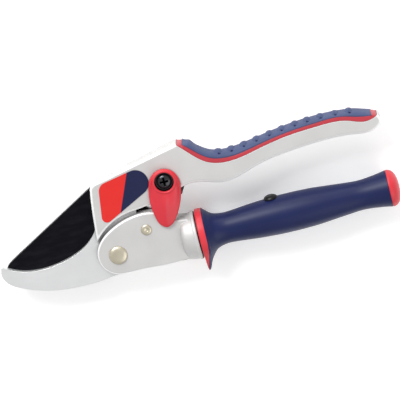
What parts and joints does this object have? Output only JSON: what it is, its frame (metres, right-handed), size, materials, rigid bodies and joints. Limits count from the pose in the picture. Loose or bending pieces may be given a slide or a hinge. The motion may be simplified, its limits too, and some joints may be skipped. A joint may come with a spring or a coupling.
{
  "type": "pruning shears",
  "caption": "Bypass pruning shears with a black coated blade, a steel hook, a cast upper handle with a thumb lock and a rotating soft lower grip.",
  "frame": {"origin": "on the pivot axis, at the flat rear face of the pivot bolt and nut", "axes": "+X along the rotating grip towards its cap, +Y towards the upper handle, +Z out of the front face along the pivot"},
  "size_m": [0.2197, 0.0744, 0.0278],
  "materials": {
    "casting": "satin, fine-blasted die casting with brighter rounded edges",
    "hook_steel": "fine ground satin steel",
    "steel": "zinc-plated steel",
    "spring_steel": "drawn spring wire",
    "bronze": "sintered bronze",
    "nickel": "satin nickel plating with a warm tint",
    "black_steel": "blackened steel",
    "blade_coating": "black non-stick coating, satin",
    "red_plastic": "fine-grained satin plastic",
    "red_strip": "fine-grained satin plastic",
    "navy_soft": "soft-touch rubber, fine texture",
    "label": "glossy vinyl sticker, red and navy fields with no print",
    "black_plastic": "black moulded plastic",
    "bush_plastic": "natural acetal"
  },
  "bodies": {
    "upper_side": {"upper_handle": "casting", "upper_grip_base": "red_strip", "upper_grip_pad": "navy_soft", "hook_blade": "hook_steel", "hook_rivets": "steel", "pivot_bush": "bronze", "head_label": "label", "lock_screw": "black_steel", "lock_washer": "black_steel", "lock_wave_washer": "steel", "spring_cup": "black_plastic", "return_spring": "spring_steel"},
    "lower_side": {"lower_handle": "casting", "cutting_blade": "blade_coating", "pivot_bolt": "nickel", "pivot_washer": "steel", "pivot_nut": "nickel", "blade_rivet": "nickel", "grip_spindle": "steel", "thrust_washer": "black_plastic", "spindle_washer": "steel", "spindle_screw": "steel"},
    "thumb_lock": {"lock_lever": "red_plastic", "lock_pin": "steel"},
    "turning_grip": {"grip_sleeve": "red_plastic", "grip_cover": "navy_soft", "grip_end_cap": "red_plastic", "grip_stop_screw": "black_plastic", "front_bush": "bush_plastic", "rear_bush": "bush_plastic"}
  },
  "joints": [
    {"name": "handle_pivot", "type": "hinge", "parent": "upper_side", "child": "lower_side", "pos_m": [0, 0, 0.0089], "axis": [0, 0, -1], "range_deg": [0, 26], "deforming": ["return_spring"]},
    {"name": "lock_swing", "type": "hinge", "parent": "upper_side", "child": "thumb_lock", "pos_m": [0.034, 0.0342, 0.0089], "axis": [0, 0, 1], "range_deg": [0, 48]},
    {"name": "grip_swivel", "type": "hinge", "parent": "lower_side", "child": "turning_grip", "pos_m": [0, -0.001, 0.0089], "axis": [1, 0, 0], "range_deg": [-45, 45]}
  ]
}
